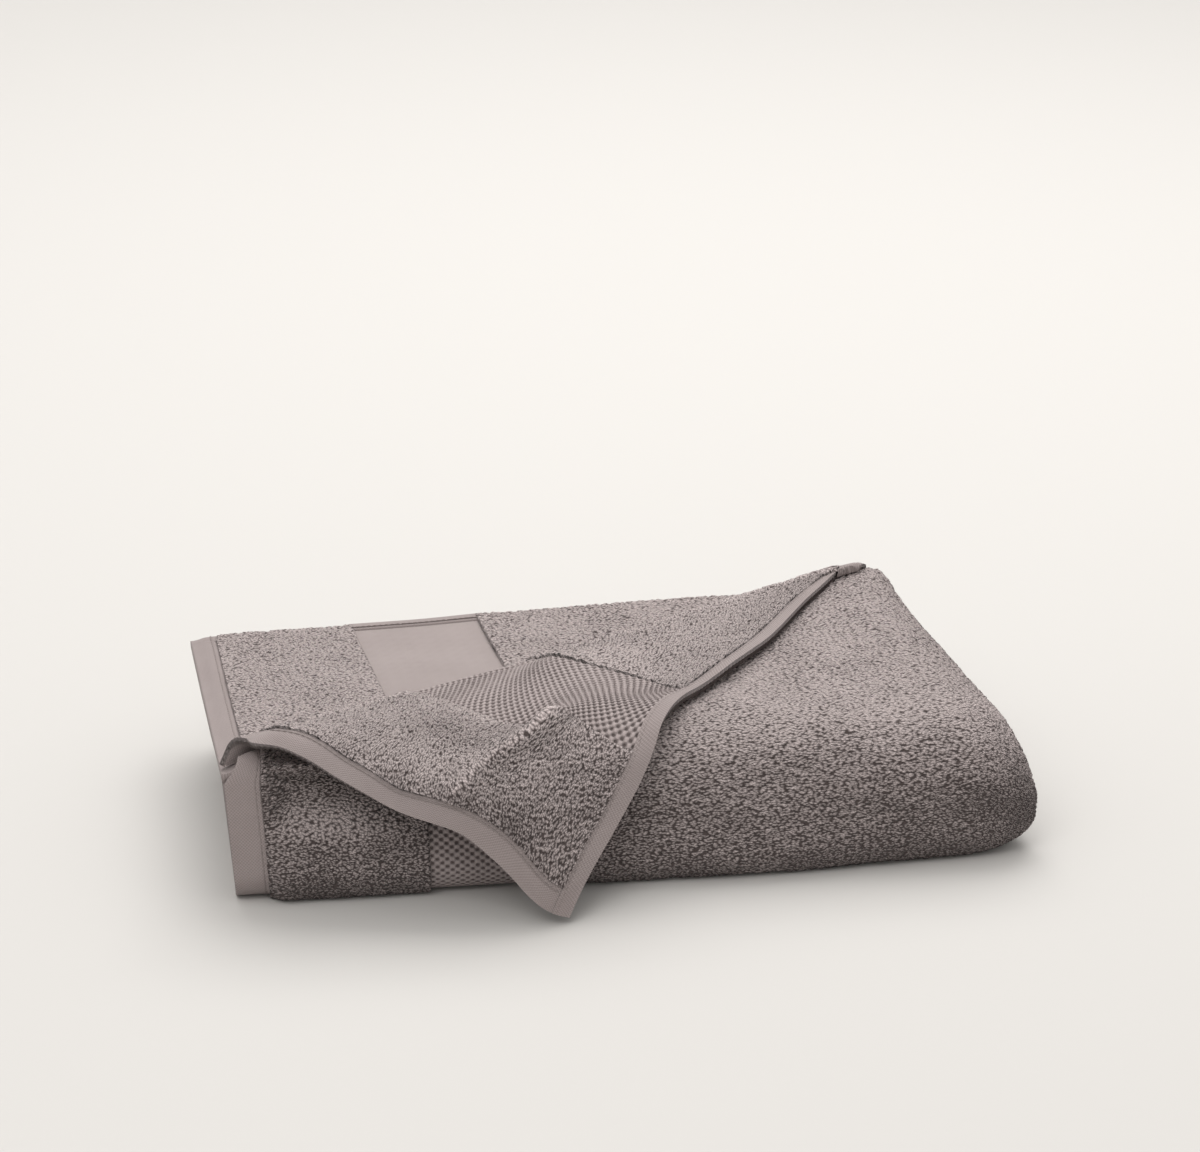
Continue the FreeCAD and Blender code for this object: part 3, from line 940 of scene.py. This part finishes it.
CORNER_NODES = {
    "flap_terry_end_cloth": ["flap_terry_end", "flap_bend"],
    "flap_border_cloth": ["flap_border"],
    "flap_terry_main_cloth": ["flap_terry_main", "crease_roll"],
    "flap_side_hem_cloth": ["flap_side_hem"],
    "tip_terry_end_cloth": ["tip_terry"],
    "tip_end_hem_cloth": ["tip_end_hem"],
    "tip_side_hem_cloth": ["tip_side_hem"],
}
for name, nodes in CORNER_NODES.items():
    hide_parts(*nodes)

# ---------------------------------------------------------------- cloth and what is sewn to it

# The narrow side hems and the stitches, listed by the cloth that they are sewn to; the loop below only
# looks them up.
SEWN_ON = {
    "wrap_end_hem_cloth": ["wrap_end_hem_stitches"],
    "under_end_hem_cloth": ["under_end_hem_stitches"],
    "under_terry_main_cloth": ["under_side_hem_cloth", "under_side_hem_stitches"],
    "flap_terry_main_cloth": ["flap_side_hem_cloth", "flap_side_hem_stitches"],
    "tip_terry_end_cloth": ["tip_side_hem_cloth", "tip_side_hem_stitches"],
    "tip_end_hem_cloth": ["tip_end_hem_stitches"],
}
for name, made in pieces.items():
    if name.startswith("inner"):
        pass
    elif not name.endswith("side_hem_cloth"):
        sewn = [bpy.data.objects[other] for other in SEWN_ON.get(name, [])]

# ---------------------------------------------------------------- floor, light and camera


LIGHT_COLOUR = (1.0, 0.985, 0.965)


def area_light(name, place, target, size, power):
    """A rectangular light at a place, turned to face its target; lengths in metres, power in watts."""
    data = bpy.data.lights.new(name, "AREA")
    data.shape = "RECTANGLE"
    data.size, data.size_y = size
    data.energy = power
    data.color = LIGHT_COLOUR
    made = bpy.data.objects.new(name, data)
    bpy.context.scene.collection.objects.link(made)
    made.location = place
    made.rotation_euler = (Vector(target) - Vector(place)).to_track_quat("-Z", "Y").to_euler()


area_light("key", (0.35, 1.0, 1.9), (0.0, 0.1, 0.0), (1.7, 1.7), 29.0)
area_light("fill", (-0.8, -1.3, 1.8), (0.0, 0.0, 0.03), (1.2, 1.0), 11.0)
area_light("back_wall", (0.0, 3.2, 2.6), (0.0, 3.4, 0.0), (3.5, 2.0), 26.0)

floor_mesh = bpy.data.meshes.new("floor")
floor_mesh.from_pydata([(-8, -8, 0), (8, -8, 0), (8, 12, 0), (-8, 12, 0)], [], [(0, 1, 2, 3)])
floor = bpy.data.objects.new("floor", floor_mesh)
bpy.context.scene.collection.objects.link(floor)
floor_material = bpy.data.materials.new("floor")
floor_material.use_nodes = True
floor_shader = floor_material.node_tree.nodes["Principled BSDF"]
floor_shader.inputs["Base Color"].default_value = (0.62, 0.606, 0.588, 1.0)
floor_shader.inputs["Roughness"].default_value = 0.9
floor_shader.inputs["Specular IOR Level"].default_value = 0.1
floor_mesh.materials.append(floor_material)

world = bpy.data.worlds.new("world")
world.use_nodes = True
sky = Nodes(world.node_tree)
background = world.node_tree.nodes["Background"]
background.inputs["Color"].default_value = (*LIGHT_COLOUR, 1.0)
direction = sky.add("SeparateXYZ")
sky.join(sky.add("TexCoord").outputs["Generated"], direction.inputs["Vector"])
sky.join(sky.spread(direction.outputs["Z"], 0.0, 1.0, 0.46, 0.92), background.inputs["Strength"])
bpy.context.scene.world = world

AZIMUTH = math.radians(-7.87)
ELEVATION = math.radians(20.38)
CAMERA_TARGET = Vector((-5.8, 24.2, 120.35))
CAMERA_DISTANCE = 1.990  # metres
forward = Vector(
    (
        -math.sin(AZIMUTH) * math.cos(ELEVATION),
        math.cos(AZIMUTH) * math.cos(ELEVATION),
        -math.sin(ELEVATION),
    )
)
camera_data = bpy.data.cameras.new("camera")
camera_data.lens = 120.0
camera_data.sensor_width = 36.0
camera = bpy.data.objects.new("camera", camera_data)
bpy.context.scene.collection.objects.link(camera)
camera.location = CAMERA_TARGET * MM - CAMERA_DISTANCE * forward
camera.rotation_mode = "QUATERNION"
camera.rotation_quaternion = forward.to_track_quat("-Z", "Y")
bpy.context.scene.camera = camera

bpy.context.scene.view_settings.view_transform = "Standard"
bpy.context.scene.view_settings.look = "None"
